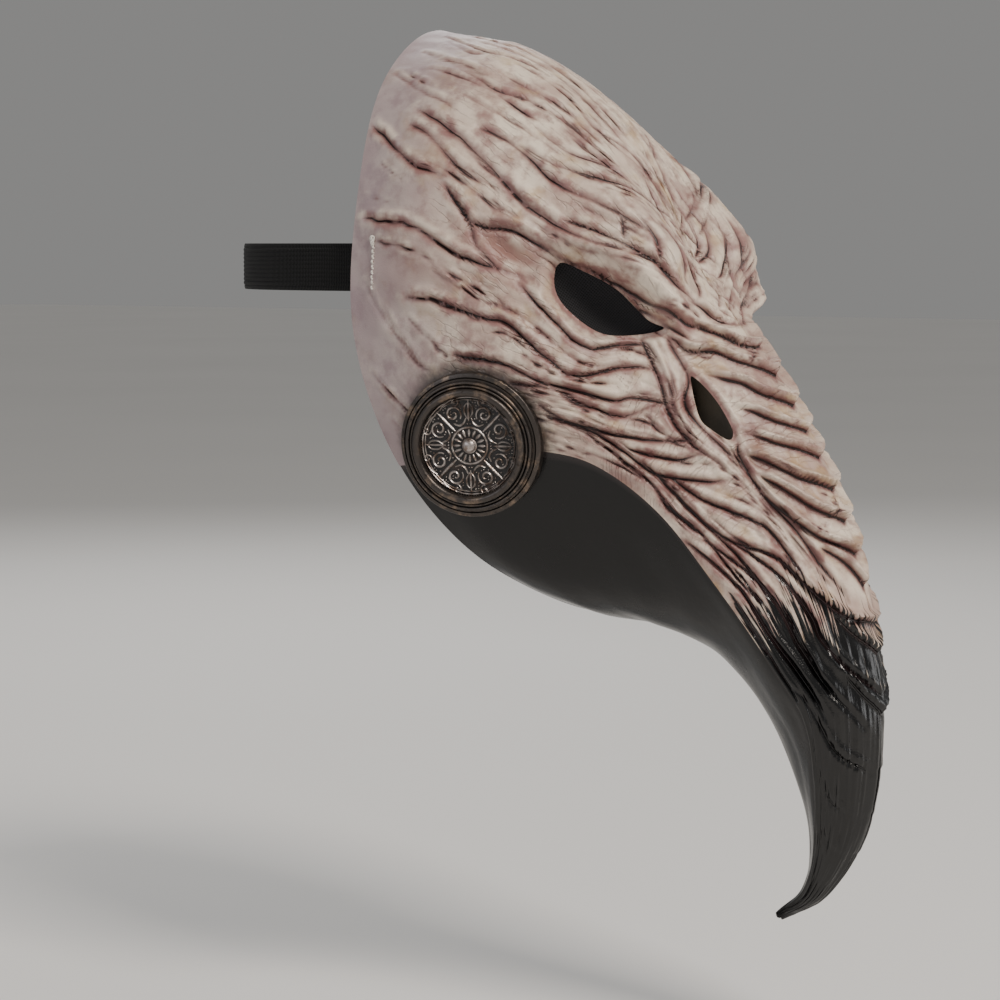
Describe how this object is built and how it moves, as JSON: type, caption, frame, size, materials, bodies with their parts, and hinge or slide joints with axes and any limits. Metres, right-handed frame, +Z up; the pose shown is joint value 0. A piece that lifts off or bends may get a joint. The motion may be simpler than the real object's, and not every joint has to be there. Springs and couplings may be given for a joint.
{
  "type": "plague doctor mask",
  "caption": "Half-head bird mask with a long curved beak, mesh eyes, a round pierced medallion at each jaw hinge and an elastic head strap.",
  "frame": {"origin": "centre of the head, midway between the temples, 8 mm above the middle of the strap ends", "axes": "+Z up, -Y forward along the look of the face, -X towards the wearer's right"},
  "size_m": [0.1888, 0.342, 0.409],
  "materials": {
    "hide": "cast latex, bone colour with mauve and brown washed into the wrinkles, satin sheen, black at the beak tip",
    "underside": "smooth black latex, soft satin sheen",
    "mesh_cloth": "fine black mesh cloth",
    "glue": "clear to milky hot glue",
    "gunmetal": "resin casting with dark gunmetal paint, worn warm at the edges",
    "backing": "black",
    "old_silver": "resin casting painted as old silver",
    "elastic": "ribbed black elastic webbing",
    "thread": "white sewing thread"
  },
  "bodies": {
    "shell": {"face_shell": "hide", "jaw_shell": "underside", "eye_mesh_right": "mesh_cloth", "eye_mesh_left": "mesh_cloth", "eye_glue_bead_right": "glue", "eye_glue_bead_left": "glue", "medallion_boss_right": "gunmetal", "medallion_boss_left": "gunmetal", "medallion_bezel_right": "gunmetal", "medallion_bezel_left": "gunmetal", "medallion_backing_right": "backing", "medallion_backing_left": "backing", "medallion_filigree_right": "old_silver", "medallion_filigree_left": "old_silver", "medallion_stud_right": "old_silver", "medallion_stud_left": "old_silver", "strap_end_right": "elastic", "strap_end_left": "elastic", "stitching_right": "thread", "stitching_left": "thread"},
    "strap": {"strap_band": "elastic"}
  },
  "joints": [
    {"name": "strap_swing", "type": "hinge", "parent": "shell", "child": "strap", "pos_m": [0, -0.005, -0.008], "axis": [1, 0, 0], "range_deg": [-35, 40]}
  ]
}
